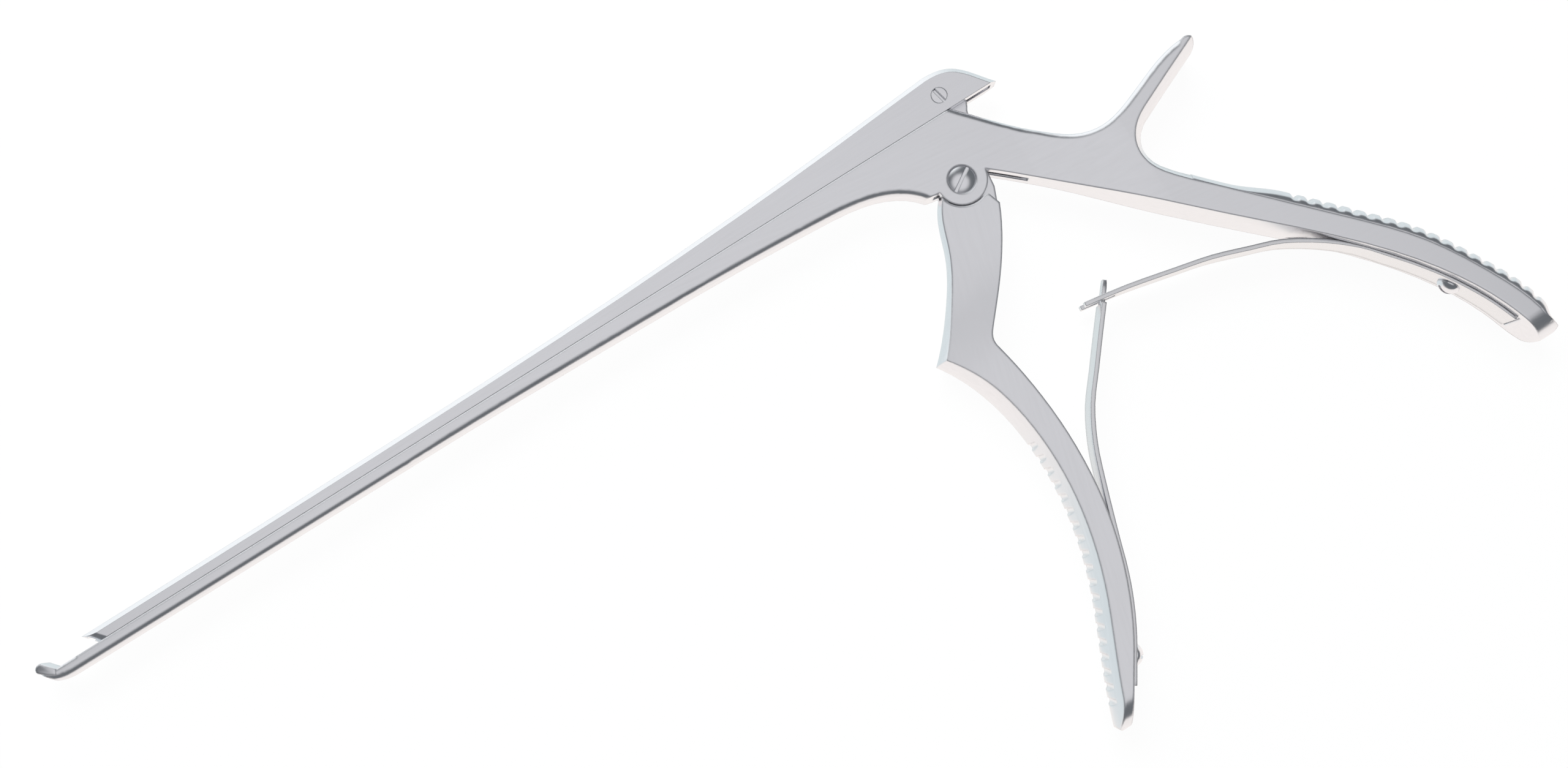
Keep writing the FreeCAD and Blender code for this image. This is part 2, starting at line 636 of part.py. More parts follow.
def tongue_spot(across, up):
    """A point given along and across the drive tongue, which leans when the jaw is open."""
    lean = math.radians(size("tongue_angle"))
    return across * math.cos(lean) + up * math.sin(lean), up * math.cos(lean) - across * math.sin(lean)


def front_handle():
    """The pivoting handle with its thin drive tongue: one forging."""
    body = new_body("front_handle")
    recess = size("recess_radius")
    left, right = math.radians(184.9), math.radians(-67.6)
    arm = [(-8.4, -4.2), (-11.4, -11.7), (-17.5, -21.3), (-22.7, -27.4)]
    corner = (-25.7, -30.3)
    grip = [(-22.1, -36.9), (-19.8, -43.9), (-18.4, -53.3), (-18.4, -62.3), (-20.3, -74.6), (-24.1, -86.4),
            (-28.6, -96.3), (-32.9, -105.8), (-34.8, -110.6)]
    side = new_sketch(body, "front_side")
    drawn = outline(
        side, (recess * math.cos(left), recess * math.sin(left)),
        ("curve", arm + [corner]),
        ("curve", grip),
        ("arc", (-34.6, -113.0), (-32.4, -113.2)),
        ("curve", [(-28.0, -106.2), (-22.7, -98.3), (-16.1, -84.6), (-12.8, -73.1), (-11.3, -62.0),
                   (-11.1, -52.3), (-12.2, -40.0), (-13.2, -33.9)]),
        ("curve", [(-13.0, -31.5), (-11.6, -29.6), (-4.6, -21.7), (1.1, -13.8), (4.0, -8.4)]),
        (3.1, -5.6), (recess * math.cos(right), recess * math.sin(right)),
        ("arc", (recess * math.cos(math.radians(-120)), recess * math.sin(math.radians(-120))),
         (recess * math.cos(left), recess * math.sin(left))),
    )
    crest, inner = drawn[1], drawn[3]
    pad(body, side, "grip_width", "front_blank")
    edge_view = new_sketch(body, "front_plan", "YZ_Plane")
    plan(edge_view, (30.0, "body_half"), (-14.0, "body_half"), ("smooth", [(-28.0, 5.0), (-42.0, "grip_half")]),
         (-130.0, "grip_half"))
    cut(body, edge_view, "front_thickness")
    half = size("tongue_half")
    tongue = new_sketch(body, "tongue_side")
    top = [tongue_spot(half * 0.8, 19.4), tongue_spot(0.0, size("tongue_end")), tongue_spot(-half * 0.8, 19.4),
           tongue_spot(-half, 14.5)]
    outline(tongue, (-5.0, -12.0), (3.0, -10.0), (4.3, -7.4), (5.5, -4.6), (5.9, -1.7), tongue_spot(half, 3.0),
            tongue_spot(half, 14.5), ("curve", top), tongue_spot(-half, 0.0))
    pad(body, tongue, "tongue_width", "tongue_plate")
    fork = new_sketch(body, "fork_side")
    reach, gap = size("pin_height") - size("fork_gap"), size("fork_radius")
    outline(fork, tongue_spot(-gap, reach), ("arc", tongue_spot(0.0, reach - gap), tongue_spot(gap, reach)),
            tongue_spot(gap, 23.0), tongue_spot(-gap, 23.0))
    cut(body, fork, "fork_cut")
    bore(body, "turning_bore", "XZ_Plane", FreeCAD.Placement(),
         ("pivot_turn", "- body_half - edge_reach"), ("pivot_turn", "body_half + edge_reach"))
    bore(body, "front_leaf_bore", "XY_Plane", upright(inner, size("front_screw_place"), 0.0),
         ("leaf_screw_hold", -3.0), ("leaf_screw_hold", "leaf_screw_length - leaf_thickness + blind_gap"))
    crown(body, "front_arm_crown", [(-5.9, -0.6)] + arm + [corner], 4.0, 4.0)
    crown(body, "front_grip_crown", [corner] + grip, 4.0, 4.0)
    rounded_end(body, new_sketch(body, "front_end_view", "YZ_Plane"), "front_end_cut", -size("front_end"),
                size("grip_half"), size("end_round"))
    teeth(body, "front_teeth", crest, 26.0)
    return inner


def leaf(label, face, end, screw_place, contact, free, depth):
    """A leaf spring that lies along a handle's inner face and then stands free of it."""
    body = new_body(label)
    sink = depth - size("leaf_seat") - size("leaf_thickness") / 2
    stations = [end + (contact - end) * number / 6 for number in range(7)]
    line = [beside(face, station, sink) for station in stations]
    band(body, [(spot.x, spot.y) for spot in line] + free, "leaf_width")
    bore(body, label + "_bore", "XY_Plane", upright(face, screw_place, sink),
         ("leaf_screw_hold", -3.0), ("leaf_screw_hold", 3.0))
    tip = free[-1][0]
    shape = new_sketch(body, label + "_tip", "XZ_Plane")
    if label == "rear_spring":
        gap, floor = size("leaf_fork") / 2, tip + size("fork_length")
        outline(shape, (tip - 5.0, -gap), (floor - gap, -gap), ("arc", (floor, 0.0), (floor - gap, gap)),
                (tip - 5.0, gap))
    else:
        neck, shoulder = size("leaf_tongue") / 2, tip - size("leaf_tongue_length") * 0.66
        for side in (1, -1):
            outline(shape, (shoulder, side * 10.0), (shoulder, side * (neck + 0.6)),
                    ("arc", (shoulder + 0.18, side * (neck + 0.18)), (shoulder + 0.6, side * neck)),
                    (tip - 0.6, side * neck), (tip + 2.0, side * neck * 0.3), (tip + 2.0, side * 10.0))
    cut(body, shape, label + "_tip_cut")


def on_leaf(body, face, screw_place, depth):
    """Sets a screw's head on a leaf, square to the face that the leaf lies on."""
    outer = depth - 2 * size("leaf_seat") - size("leaf_thickness")
    foot = upright(face, screw_place, outer).Base
    body.Placement = FreeCAD.Placement(foot, FreeCAD.Rotation(V(0, 0, 1), foot - beside(face, screw_place, outer + 1)))


underside = fixed_handle()
slide()
inner = front_handle()
rear_screw = underside.Length - size("rear_screw_place")
leaf("rear_spring", underside, underside.Length - size("rear_leaf_end"), rear_screw,
     underside.Length - size("rear_contact"),
     [(56.7, -51.7), (49.4, -47.1), (42.5, -44.5), (35.0, -41.9), (27.1, -40.0), (16.6, -37.6), (7.1, -36.0)],
     size("channel_depth"))
leaf("front_spring", inner, size("front_leaf_end"), size("front_screw_place"), size("front_contact"),
     [(-9.8, -68.2), (-6.9, -61.0), (-3.0, -54.2), (1.9, -48.3), (6.9, -42.3), (12.0, -36.3), (14.1, -33.7)],
     0.0)
screw("pivot_screw", "pivot", -58).Placement = FreeCAD.Placement(V(0, 0, size("pivot_seat")),
                                                                FreeCAD.Rotation())
screw("slide_screw", "pin", 12).Placement = FreeCAD.Placement(
    V(size("pin_offset"), size("pin_height"), size("pin_seat")), FreeCAD.Rotation())
on_leaf(screw("rear_spring_screw", "leaf_screw", 20), underside, rear_screw, size("channel_depth"))
on_leaf(screw("front_spring_screw", "leaf_screw", 70), inner, size("front_screw_place"), 0.0)
doc.recompute()

pieces = [item for item in doc.Objects if item.TypeId == "PartDesign::Body"]
boxes = [piece.Shape.optimalBoundingBox(False) for piece in pieces]
left, right = min(box.XMin for box in boxes), max(box.XMax for box in boxes)
near, far = min(box.YMin for box in boxes), max(box.YMax for box in boxes)
lift = FreeCAD.Placement(V(-(left + right) / 2, -(near + far) / 2, size("grip_half")), FreeCAD.Rotation())
for piece in pieces:
    piece.Placement = lift * piece.Placement
doc.recompute()
print("pivot axis at", [round(value, 4) for value in lift.Base], "closing angle", round(size("closing_angle"), 3))

for item in doc.Objects:
    if "Invalid" in item.State or "Error" in item.State:
        raise RuntimeError(f"{item.Label} did not build: {item.State}")
for piece in pieces:
    shape = piece.Shape
    if shape.isNull() or not shape.isValid() or len(shape.Solids) != 1:
        raise RuntimeError(f"{piece.Label} is not one valid solid")
os.makedirs("parts", exist_ok=True)
for piece in pieces:
    piece.Shape.exportStep(f"parts/{piece.Label}.step")
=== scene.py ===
import math

import bmesh
import bpy
from mathutils import Matrix, Vector


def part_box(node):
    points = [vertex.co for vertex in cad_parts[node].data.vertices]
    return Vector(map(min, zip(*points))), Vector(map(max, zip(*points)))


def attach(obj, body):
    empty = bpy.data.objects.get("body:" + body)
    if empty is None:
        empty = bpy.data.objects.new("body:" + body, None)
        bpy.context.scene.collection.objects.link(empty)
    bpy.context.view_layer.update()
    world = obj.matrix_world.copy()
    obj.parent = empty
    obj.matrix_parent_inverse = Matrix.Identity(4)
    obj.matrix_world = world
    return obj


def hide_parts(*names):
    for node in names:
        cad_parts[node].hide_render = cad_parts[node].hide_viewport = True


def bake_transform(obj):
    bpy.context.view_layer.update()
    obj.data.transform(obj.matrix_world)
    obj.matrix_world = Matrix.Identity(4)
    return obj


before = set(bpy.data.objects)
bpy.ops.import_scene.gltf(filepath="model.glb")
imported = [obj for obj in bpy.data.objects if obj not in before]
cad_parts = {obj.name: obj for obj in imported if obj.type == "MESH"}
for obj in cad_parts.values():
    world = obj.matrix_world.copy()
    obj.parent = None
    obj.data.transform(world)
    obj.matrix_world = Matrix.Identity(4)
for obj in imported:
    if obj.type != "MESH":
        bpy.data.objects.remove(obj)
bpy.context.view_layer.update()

# Camera. It looks down on the instrument from over the front handle, turned so that the shaft runs from the
# lower left to the upper right.
pivot_low, pivot_high = (Vector(corner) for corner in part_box("pivot_screw"))
BODY_HALF = 0.0036                    # middle plane to the body's side face
PIVOT = Vector(((pivot_low.x + pivot_high.x) / 2, (pivot_low.y + pivot_high.y) / 2, pivot_low.z + BODY_HALF))
PHOTO_WIDTH = 2560                    # pixels
FOCAL = 2800                          # pixels
SHIFT_ACROSS = 20                     # pixels from the picture's centre to the point below the camera
SHIFT_DOWN = 308
CAMERA_PLACE = Vector((-0.073340, -0.050605, 0.356604))     # from the pivot
roll = math.radians(32.413)
across = Vector((math.cos(roll), -math.sin(roll), 0))
along = Vector((math.sin(roll), math.cos(roll), 0))
down = Vector((0, 0, -1))
looking = (down - across * (SHIFT_ACROSS / FOCAL) + along * (SHIFT_DOWN / FOCAL)).normalized()
right = (across + down * (SHIFT_ACROSS / FOCAL)).normalized()
up = right.cross(looking)
lens = bpy.data.cameras.new("studio_camera")
lens.sensor_fit = "HORIZONTAL"
lens.sensor_width = 36.0
lens.lens = lens.sensor_width * FOCAL / PHOTO_WIDTH
lens.clip_start = 0.01
lens.clip_end = 20.0
camera = bpy.data.objects.new("studio_camera", lens)
bpy.context.collection.objects.link(camera)
camera.matrix_world = Matrix.Translation(PIVOT + CAMERA_PLACE) @ Matrix(
    (right, up, -looking)).transposed().to_4x4()
bpy.context.scene.camera = camera

# Studio. A white table under a grey ceiling with a dark ring round it, a bright wall on the shaft's side, and
# light from below that is warm on the handles' side and cool on the other, so that faces differ from edges.
bpy.context.scene.view_settings.view_transform = "Standard"


def nodes_of(tree):
    """Clears a node tree and returns functions that add a node and join two sockets."""
    tree.nodes.clear()

    def add(kind, **settings):
        node = tree.nodes.new(kind)
        for name, value in settings.items():
            if name in node.inputs:
                node.inputs[name].default_value = value
            else:
                setattr(node, name, value)
        return node
    return add, tree.links.new


def seen_as_background(add, link):
    """1 for what the camera, a mirror or a glass sees directly, else 0."""
    path = add("ShaderNodeLightPath")
    glossy = add("ShaderNodeMath", operation="MAXIMUM")
    either = add("ShaderNodeMath", operation="MAXIMUM")
    link(path.outputs["Is Camera Ray"], glossy.inputs[0])
    link(path.outputs["Is Glossy Ray"], glossy.inputs[1])
    link(glossy.outputs[0], either.inputs[0])
    link(path.outputs["Is Transmission Ray"], either.inputs[1])
    return either.outputs[0]


TABLE_SIZE = 6.0
TABLE_GAP = 0.00005                   # table's top below the instrument
TABLE_GLOW = 1.07
GLOW_SHARE = 0.88                     # glow against paper, for what sees the table directly
bpy.ops.object.select_all(action="DESELECT")
bpy.ops.mesh.primitive_plane_add(size=TABLE_SIZE, location=(0, 0, -TABLE_GAP))
table = bpy.context.object
table.name = "studio_table"
white = bpy.data.materials.new("white_table")
white.use_nodes = True
add, link = nodes_of(white.node_tree)
out = add("ShaderNodeOutputMaterial")
paper = add("ShaderNodeBsdfDiffuse", Color=(0.8, 0.8, 0.8, 1))
glow = add("ShaderNodeEmission", Color=(1, 1, 1, 1), Strength=TABLE_GLOW)
mixed = add("ShaderNodeMixShader")
share = add("ShaderNodeMath", operation="MULTIPLY")
link(seen_as_background(add, link), share.inputs[0])
share.inputs[1].default_value = GLOW_SHARE
link(share.outputs[0], mixed.inputs[0])
link(paper.outputs[0], mixed.inputs[1])
link(glow.outputs[0], mixed.inputs[2])
link(mixed.outputs[0], out.inputs["Surface"])
table.data.materials.append(white)
table.visible_glossy = False

world = bpy.data.worlds.new("studio_room")
bpy.context.scene.world = world
world.use_nodes = True
add, link = nodes_of(world.node_tree)
out = add("ShaderNodeOutputWorld")
place = add("ShaderNodeTexCoord")
split = add("ShaderNodeSeparateXYZ")
link(place.outputs["Generated"], split.inputs[0])


def blend(share, first, second):
    """Mixes two colours or colour sockets by a share."""
    mix = add("ShaderNodeMix", data_type="RGBA")
    ends = [socket for socket in mix.inputs if socket.type == "RGBA"]
    link(share, mix.inputs[0])
    for end, colour in zip(ends, (first, second)):
        if isinstance(colour, tuple):
            end.default_value = colour
        else:
            link(colour, end)
    return [socket for socket in mix.outputs if socket.type == "RGBA"][0]


def rise(axis, start, end):
    """0 to 1 along an axis of the room, smoothly, between two heights of a unit direction."""
    ramp = add("ShaderNodeMapRange", interpolation_type="SMOOTHSTEP")
    ramp.inputs["From Min"].default_value = start
    ramp.inputs["From Max"].default_value = end
    link(split.outputs[axis], ramp.inputs["Value"])
    return ramp.outputs["Result"]


WARM = (1.04, 0.99, 0.95, 1)
COOL = (0.78, 0.85, 0.86, 1)
DARK_RING = (0.15, 0.16, 0.17, 1)
BRIGHT_WALL = (1.1, 1.13, 1.13, 1)
CEILING = (0.72, 0.72, 0.73, 1)
below = blend(rise("Y", -0.15, 0.30), WARM, COOL)
sides = blend(rise("Z", -0.02, 0.14), below, DARK_RING)
walled = blend(rise("Y", 0.62, 0.85), sides, BRIGHT_WALL)
lit = blend(rise("Z", 0.78, 0.93), walled, CEILING)
room = add("ShaderNodeBackground", Strength=1.0)
link(lit, room.inputs["Color"])
plain = add("ShaderNodeBackground", Color=(1, 1, 1, 1), Strength=1.0)
choice = add("ShaderNodeMixShader")
path = add("ShaderNodeLightPath")
link(path.outputs["Is Camera Ray"], choice.inputs[0])
link(room.outputs[0], choice.inputs[1])
link(plain.outputs[0], choice.inputs[2])
link(choice.outputs[0], out.inputs["Surface"])

key = bpy.data.lights.new("soft_key", "AREA")
key.shape = "RECTANGLE"
key.size, key.size_y = 0.9, 0.5
key.energy = 5.0
lamp = bpy.data.objects.new("soft_key", key)
bpy.context.collection.objects.link(lamp)
lamp.location = (0.1, 0.75, 0.9)
lamp.visible_glossy = False
lamp.rotation_euler = (Vector((0, 0, 0)) - lamp.location).to_track_quat("-Z", "Y").to_euler()


# Satin steel. The forged pieces are ground and then finely brushed: a close grain along the piece, slight
# clouds in the polish, and softly eased edges.
CLOUD_SHARE = 0.6                     # clouds added to the grain
MIDDLE = 0.8                          # what grain and clouds come to on average
RELIEF = 0.00002                      # height of the grain
FINE_EDGE = 0.00025
SOFT_EDGE = 0.0007


def satin_group():
    """The node group that every steel shares: its colour, roughness and height from a place on the piece."""
    group = bpy.data.node_groups.new("satin_finish", "ShaderNodeTree")
    sockets = group.interface
    sockets.new_socket("Place", in_out="INPUT", socket_type="NodeSocketVector")
    for name, value in (("Grain", 900.0), ("Stretch", 8.0), ("Roughness", 0.3), ("Spread", 0.1)):
        sockets.new_socket(name, in_out="INPUT", socket_type="NodeSocketFloat").default_value = value
    sockets.new_socket("Steel", in_out="INPUT", socket_type="NodeSocketColor")
    sockets.new_socket("Colour", in_out="OUTPUT", socket_type="NodeSocketColor")
    sockets.new_socket("Roughness", in_out="OUTPUT", socket_type="NodeSocketFloat")
    sockets.new_socket("Height", in_out="OUTPUT", socket_type="NodeSocketFloat")
    add, link = nodes_of(group)
    given = add("NodeGroupInput")
    result = add("NodeGroupOutput")
    # brushed grain: noise squeezed across the brushing, long along X
    narrow = add("ShaderNodeMath", operation="DIVIDE")
    link(given.outputs["Grain"], narrow.inputs[0])
    link(given.outputs["Stretch"], narrow.inputs[1])
    squeeze = add("ShaderNodeCombineXYZ")
    link(narrow.outputs[0], squeeze.inputs["X"])
    link(given.outputs["Grain"], squeeze.inputs["Y"])
    link(given.outputs["Grain"], squeeze.inputs["Z"])
    scaled = add("ShaderNodeVectorMath", operation="MULTIPLY")
    link(given.outputs["Place"], scaled.inputs[0])
    link(squeeze.outputs[0], scaled.inputs[1])
    grain = add("ShaderNodeTexNoise", Scale=1.0, Detail=3.0, Roughness=0.6)
    link(scaled.outputs[0], grain.inputs["Vector"])
    clouds = add("ShaderNodeTexNoise", Scale=45.0, Detail=2.0)
    link(given.outputs["Place"], clouds.inputs["Vector"])
    both = add("ShaderNodeMath", operation="MULTIPLY_ADD")
    link(clouds.outputs["Fac"], both.inputs[0])
    both.inputs[1].default_value = CLOUD_SHARE
    link(grain.outputs["Fac"], both.inputs[2])
    centred = add("ShaderNodeMath", operation="SUBTRACT")
    link(both.outputs[0], centred.inputs[0])
    centred.inputs[1].default_value = MIDDLE
    rough = add("ShaderNodeMath", operation="MULTIPLY_ADD")
    link(centred.outputs[0], rough.inputs[0])
    link(given.outputs["Spread"], rough.inputs[1])
    link(given.outputs["Roughness"], rough.inputs[2])
    shade = add("ShaderNodeMapRange")
    link(centred.outputs[0], shade.inputs["Value"])
    for name, value in (("From Min", -0.5), ("From Max", 0.5), ("To Min", 0.93), ("To Max", 1.05)):
        shade.inputs[name].default_value = value
    tint = add("ShaderNodeVectorMath", operation="SCALE")
    link(given.outputs["Steel"], tint.inputs[0])
    link(shade.outputs["Result"], tint.inputs["Scale"])
    link(tint.outputs[0], result.inputs["Colour"])
    link(rough.outputs[0], result.inputs["Roughness"])
    link(grain.outputs["Fac"], result.inputs["Height"])
    return group


satin = satin_group()


def steel(name, colour, roughness, spread, grain, stretch, turn, bump, edge=FINE_EDGE):
    """A steel with its own brushing: grain per metre, stretched along a way, and edges eased by a radius."""
    material = bpy.data.materials.new(name)
    material.use_nodes = True
    add, link = nodes_of(material.node_tree)
    out = add("ShaderNodeOutputMaterial")
    metal = add("ShaderNodeBsdfPrincipled", Metallic=1.0)
    place = add("ShaderNodeTexCoord")
    turned = add("ShaderNodeMapping")
    turned.inputs["Rotation"].default_value = (0, 0, math.radians(turn))
    link(place.outputs["Object"], turned.inputs["Vector"])
    finish = add("ShaderNodeGroup", node_tree=satin)
    link(turned.outputs["Vector"], finish.inputs["Place"])
    finish.inputs["Grain"].default_value = grain
    finish.inputs["Stretch"].default_value = stretch
    finish.inputs["Roughness"].default_value = roughness
    finish.inputs["Spread"].default_value = spread
    finish.inputs["Steel"].default_value = (*colour, 1)
    relief = add("ShaderNodeBump", Strength=bump, Distance=RELIEF)
    link(finish.outputs["Height"], relief.inputs["Height"])
    eased = add("ShaderNodeBevel", Radius=edge)
    eased.samples = 6
    link(eased.outputs["Normal"], relief.inputs["Normal"])
    link(finish.outputs["Colour"], metal.inputs["Base Color"])
    link(finish.outputs["Roughness"], metal.inputs["Roughness"])
    link(relief.outputs["Normal"], metal.inputs["Normal"])
    link(metal.outputs["BSDF"], out.inputs["Surface"])
    return material


def dress(node, material):
    """Gives a finished solid its steel."""
    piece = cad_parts[node]
    for slot in piece.material_slots:
        slot.material = material
    if not piece.material_slots:
        piece.data.materials.append(material)


SATIN = (0.86, 0.86, 0.89)
dress("fixed_handle", steel("satin_body", SATIN, roughness=0.24, spread=0.10, grain=1100.0, stretch=14.0,
                            turn=8.0, bump=0.25, edge=SOFT_EDGE))
dress("slide", steel("satin_slide", SATIN, roughness=0.24, spread=0.10, grain=1400.0, stretch=14.0,
                     turn=0.0, bump=0.12))
dress("front_handle", steel("satin_handle", SATIN, roughness=0.24, spread=0.10, grain=1100.0, stretch=14.0,
                            turn=-75.0, bump=0.25, edge=SOFT_EDGE))

# Screws. Turned from bar and polished, with a driver slot milled across the head.
for node in ("pivot_screw", "slide_screw", "rear_spring_screw", "front_spring_screw"):
    dress(node, steel(f"polished_{node}", SATIN, roughness=0.18, spread=0.06, grain=2500.0, stretch=2.0,
                      turn=30.0, bump=0.08))


# Leaf springs. Two strips of spring steel, each screwed to the inner face of a handle; the rear one ends in a
# fork and the front one in a tongue that passes through it.
LEAF_WIDTH = 0.0074
LEAF_THICKNESS = 0.0010
LEAF_EDGE = 0.00012                   # width of the bevel round a leaf
LINE_PARTS = 3                        # steps between two points of a leaf's line
SAME_PLACE = 1e-6


def smooth_line(points, parts):
    """Points along a Catmull-Rom curve through the given ones, in metres from the pivot's place."""
    ends = [points[0]] + points + [points[-1]]
    line = []
    for before, here, there, after in zip(ends, ends[1:], ends[2:], ends[3:]):
        for part in range(parts):
            share = part / parts
            line.append(tuple(0.5 * (2 * b + (c - a) * share + (2 * a - 5 * b + 4 * c - d) * share ** 2
                                     + (3 * b - a - 3 * c + d) * share ** 3)
                              for a, b, c, d in zip(before, here, there, after)))
    line.append(points[-1])
    return [PIVOT + Vector((x, y, 0)) / 1000 for x, y in line]


def leaf(name, points, cuts, drop, narrow):
    """A strip drawn out along a line and cut across, with its tip's faces dropped or its edges drawn in."""
    line = smooth_line(points, LINE_PARTS)
    bpy.ops.object.select_all(action="DESELECT")
    bpy.ops.mesh.primitive_plane_add(size=1)
    strip = bpy.context.object
    strip.name = name
    first = line[1] - line[0]
    strip.matrix_world = Matrix.Translation((line[0] + line[1]) / 2) @ Matrix((
        (first.x, 0, first.y, 0), (first.y, 0, -first.x, 0), (0, LEAF_WIDTH, 0, 0), (0, 0, 0, 1)))
    bpy.ops.object.transform_apply(location=True, rotation=True, scale=True)
    bpy.ops.object.mode_set(mode="EDIT")
    bpy.ops.mesh.select_all(action="DESELECT")
    bpy.ops.mesh.select_mode(type="EDGE")
    mesh = bmesh.from_edit_mesh(strip.data)
    for edge in mesh.edges:
        middle = (edge.verts[0].co + edge.verts[1].co) / 2
        edge.select_set((middle - line[1]).length < SAME_PLACE)
    bmesh.update_edit_mesh(strip.data)
    for here, there in zip(line[1:], line[2:]):
        bpy.ops.mesh.extrude_region_move(TRANSFORM_OT_translate={"value": there - here})
    for place in cuts:
        bpy.ops.mesh.select_all(action="SELECT")
        bpy.ops.mesh.bisect(plane_co=PIVOT + Vector(place[0]) / 1000, plane_no=place[1])
    bpy.ops.mesh.select_all(action="DESELECT")
    bpy.ops.mesh.select_mode(type="FACE")
    mesh = bmesh.from_edit_mesh(strip.data)
    for face in mesh.faces:
        middle = (face.calc_center_median() - PIVOT) * 1000
        face.select_set(drop(middle))
    bmesh.update_edit_mesh(strip.data)
    bpy.ops.mesh.delete(type="FACE")
    mesh = bmesh.from_edit_mesh(strip.data)
    for vertex in mesh.verts:
        spot = (vertex.co - PIVOT) * 1000
        vertex.co.z = PIVOT.z + narrow(spot) / 1000
    bmesh.update_edit_mesh(strip.data)
    bpy.ops.object.mode_set(mode="OBJECT")
    wall = strip.modifiers.new("thickness", "SOLIDIFY")
    wall.thickness = LEAF_THICKNESS
    wall.offset = 0.0
    wall.use_even_offset = True
    edge = strip.modifiers.new("edges", "BEVEL")
    edge.width = LEAF_EDGE
    edge.segments = 2
    edge.limit_method = "ANGLE"
    edge.angle_limit = math.radians(50)
    bpy.context.view_layer.objects.active = strip
    for modifier in ("thickness", "edges"):
        bpy.ops.object.modifier_apply(modifier=modifier)
    bpy.ops.object.mode_set(mode="EDIT")
    bpy.ops.mesh.select_all(action="SELECT")
    bpy.ops.mesh.normals_make_consistent(inside=False)
    bpy.ops.object.mode_set(mode="OBJECT")
    bpy.ops.object.shade_smooth_by_angle(angle=math.radians(35))
    strip.data.materials.clear()
    strip.data.materials.append(SPRING)
    return strip


SPRING = steel("spring_steel", (0.84, 0.84, 0.86), roughness=0.28, spread=0.12, grain=1600.0, stretch=12.0,
               turn=-35.0, bump=0.12)
rear_line = [(81.0, -86.4), (78.9, -80.8), (76.3, -75.6), (73.3, -70.5), (69.9, -65.7), (66.2, -61.1),
             (62.4, -56.6), (56.7, -51.7), (49.4, -47.1), (42.5, -44.5), (35.0, -41.9), (27.1, -40.0),
             (16.6, -37.6), (7.1, -36.0)]
FORK = 1.75                           # half of the opening, mm
FORK_ROOT = 14.6
rear_leaf = leaf(
    "rear_leaf", rear_line,
    [((0, 0, FORK), (0, 0, 1)), ((0, 0, -FORK), (0, 0, 1)), ((FORK_ROOT, 0, 0), (1, 0, 0))],
    lambda spot: abs(spot.z) < FORK and spot.x < FORK_ROOT, lambda spot: spot.z)
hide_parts("rear_spring")
root, tip = (PIVOT + Vector((x, y, 0)) / 1000 for x, y in ((62.4, -56.6), (7.1, -36.0)))
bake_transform(rear_leaf)

front_line = [(-27.6, -106.7), (-24.8, -102.5), (-22.1, -98.4), (-19.6, -94.0), (-17.4, -89.4),
              (-15.6, -84.8), (-14.0, -80.0), (-9.8, -68.2), (-6.9, -61.0), (-3.0, -54.2), (1.9, -48.3),
              (6.9, -42.3), (12.0, -36.3), (14.1, -33.7)]
TONGUE = 1.4                          # half of its width, mm
TONGUE_ROOT = 10.8
POINT_START, POINT_RUN = 12.6, 1.6    # where the tongue draws in to its point
POINT_DRAW = 0.55
front_leaf = leaf(
    "front_leaf", front_line,
    [((0, 0, TONGUE), (0, 0, 1)), ((0, 0, -TONGUE), (0, 0, 1)), ((TONGUE_ROOT, 0, 0), (1, 0, 0))],
    lambda spot: abs(spot.z) > TONGUE and spot.x > TONGUE_ROOT,
    lambda spot: spot.z * (1 - POINT_DRAW * max(0.0, (spot.x - POINT_START) / POINT_RUN) ** 2))
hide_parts("front_spring")
root, tip = (PIVOT + Vector((x, y, 0)) / 1000 for x, y in ((-14.0, -80.0), (14.1, -33.7)))
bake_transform(front_leaf)


def solid_piece(name, rings, node, body):
    """A closed mesh from rings of points, one after another, in the node's steel and riding on its body."""
    mesh = bmesh.new()
    rows = [[mesh.verts.new(point) for point in ring] for ring in rings]
    count = len(rows[0])
    for near, far in zip(rows, rows[1:]):
        for number in range(count):
            after = (number + 1) % count
            mesh.faces.new((near[number], near[after], far[after], far[number]))
    mesh.faces.new(rows[0][::-1])
    mesh.faces.new(rows[-1])
    bmesh.ops.recalc_face_normals(mesh, faces=mesh.faces)
    data = bpy.data.meshes.new(name)
    mesh.to_mesh(data)
    mesh.free()
    piece = bpy.data.objects.new(name, data)
    bpy.context.collection.objects.link(piece)
    data.materials.append(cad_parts[node].material_slots[0].material)
    bpy.ops.object.select_all(action="DESELECT")
    piece.select_set(True)
    bpy.context.view_layer.objects.active = piece
    bpy.ops.object.shade_smooth_by_angle(angle=math.radians(32))
    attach(piece, body)
    return piece


# Rear grip's crown. It stands higher than the solid's and is cut across by rounded grooves, so that its teeth
# show past the grip's edge. It sinks into the solid's crown before the spur.
GRIP_HALF = 6.3                       # mm, as the sizes below
TOOTH_PITCH = 3.18
FIRST_GROOVE = 5.9
GROOVES = 18
CROWN_DEPTH = 2.1                     # the solid's crown above the grip's edge
CROWN_RADIUS = (GRIP_HALF ** 2 + CROWN_DEPTH ** 2) / (2 * CROWN_DEPTH)
CROWN_RISE = 3.27                     # this crown above the grip's edge
CROWN_SKIN = 0.02                     # where it has sunk, its height over the solid's crown
CROWN_STEP = 0.26                     # between its rings
GROOVE_DEPTH = 0.85
GROOVE_HALF = 1.05                    # groove's half width at the crest
GROOVE_FLANK = 0.75
END_RUN = 3.0                         # grip's end to where the crown starts
START_RISE = 4.0                      # length over which it comes up
SINK_START = 62.0
SINK_RUN = 12.0
RING_POINTS = 19                      # over the crown, from side to side
FOOT_DEPTH = 0.003                    # m, the piece's foot inside the solid
FOOT_SHARE = 0.9                      # of the crown's width
BACK_PARTS = 60                       # steps between two points of the back
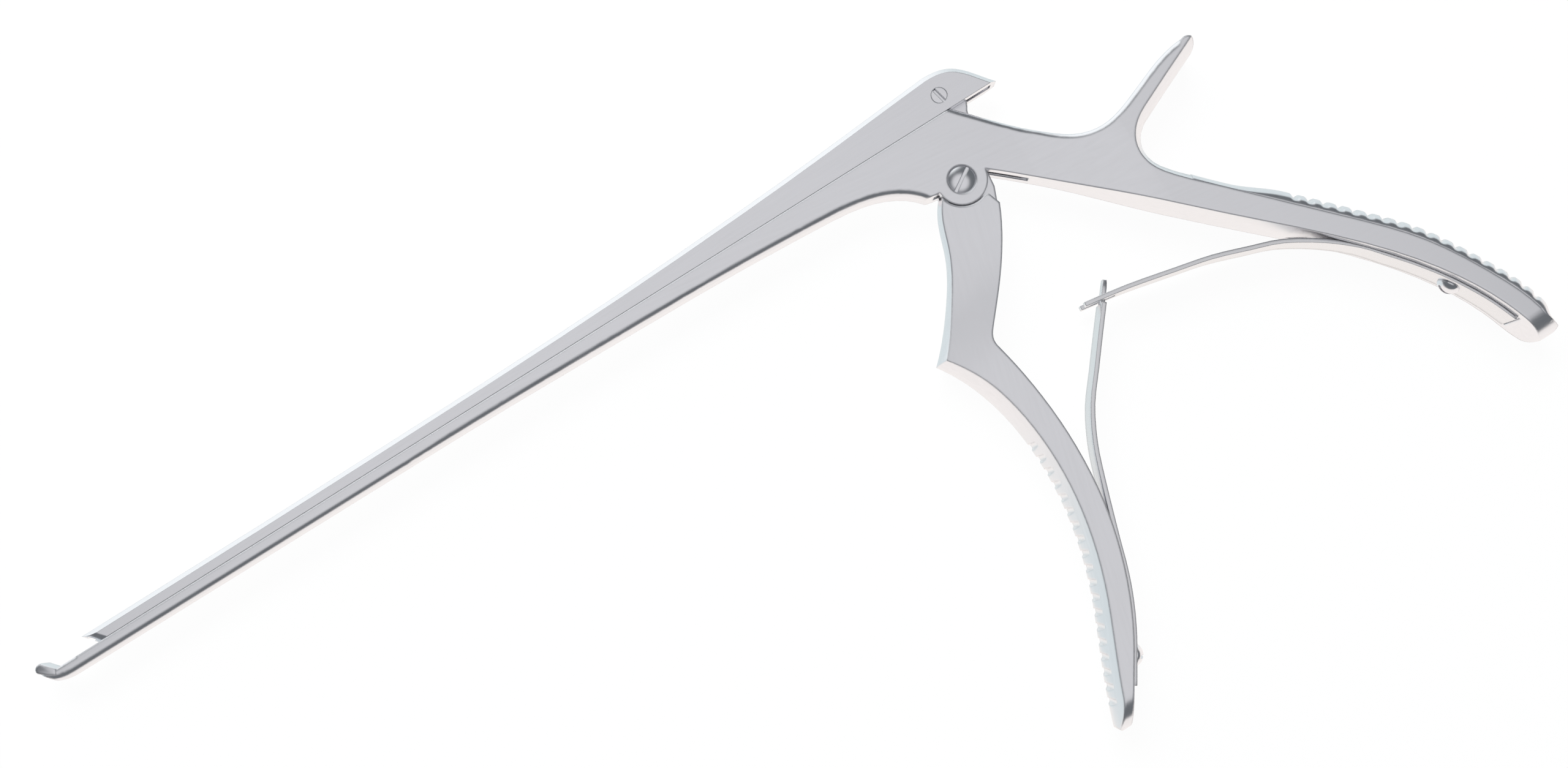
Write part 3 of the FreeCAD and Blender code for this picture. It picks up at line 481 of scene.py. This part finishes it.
back = smooth_line([(87.8, -90.3), (86.5, -83.5), (83.1, -75.3), (74.8, -60.9), (64.2, -48.7), (53.3, -37.2),
                    (44.9, -28.3), (41.5, -24.6)], BACK_PARTS)


def ease(value):
    """0 to 1 with soft ends."""
    value = min(1.0, max(0.0, value))
    return value * value * (3 - 2 * value)


rings = []
travelled, due = 0.0, 0.0
for here, there in zip(back, back[1:]):
    if travelled >= due:
        way = (there - here).normalized()
        outward = Vector((way.y, -way.x, 0))
        depth = END_RUN + travelled
        half = GRIP_HALF if depth > GRIP_HALF else math.sqrt(2 * GRIP_HALF * depth - depth ** 2)
        share = (travelled - FIRST_GROOVE) / TOOTH_PITCH
        nearest = min(GROOVES - 1, max(0, round(share)))
        groove = GROOVE_DEPTH * ease((GROOVE_HALF - abs(share - nearest) * TOOTH_PITCH) / GROOVE_FLANK)
        full = ease(travelled / START_RISE) * (1 - ease((travelled - SINK_START) / SINK_RUN))
        ring = []
        for number in range(RING_POINTS):
            angle = math.radians(-90 + 180 * number / (RING_POINTS - 1))
            across_grip = half * math.sin(angle)
            solid = math.sqrt(CROWN_RADIUS ** 2 - across_grip ** 2) - CROWN_RADIUS + CROWN_SKIN
            proud = (CROWN_RISE - groove) * math.cos(angle) - CROWN_DEPTH
            ring.append(here + outward * (solid + (proud - solid) * full) / 1000
                        + Vector((0, 0, across_grip / 1000)))
        ring += [here - outward * FOOT_DEPTH + Vector((0, 0, side * half * FOOT_SHARE / 1000))
                 for side in (1, -1)]
        rings.append(ring)
        due += CROWN_STEP
    travelled += (there - here).length * 1000
solid_piece("rear_grip_crown", rings, "fixed_handle", "frame")

# Footplate's tip. Its side faces reach almost to the tip, with only its edges eased.
BITE_REACH = 211.8
PARTING = 14.1
JAW_ANGLE = math.radians(130)
rise_way = Vector((math.cos(JAW_ANGLE), math.sin(JAW_ANGLE), 0))
thick_way = Vector((-rise_way.y, rise_way.x, 0))
root = Vector((-BITE_REACH, PARTING, 0))
profile = [(0.0, -0.02), (3.52, -0.02), (3.78, 0.25), (4.0, 0.7), (4.06, 1.15), (3.95, 1.6), (3.62, 2.0),
           (3.2, 2.13), (1.2, 1.78), (-0.6, 1.2)]
TIP_MIDDLE = Vector((1.9, 1.0))       # up the footplate and through it
EASED_FROM = 1.5                      # up the footplate, where its rims start to draw in
SECTIONS = ((-2.51, 0.22), (-2.44, 0.06), (-2.3, 0.0), (2.3, 0.0), (2.44, 0.06), (2.51, 0.22))
rings = []
for height, inset in SECTIONS:        # from the middle plane, and how far the rim draws in
    ring = []
    for up_foot, through in profile:
        spot = Vector((up_foot, through))
        if inset and up_foot > EASED_FROM:
            spot -= (spot - TIP_MIDDLE).normalized() * inset
        place = root + rise_way * spot.x + thick_way * spot.y
        ring.append(PIVOT + (place + Vector((0, 0, height))) / 1000)
    rings.append(ring)
solid_piece("footplate_tip", rings, "fixed_handle", "frame")
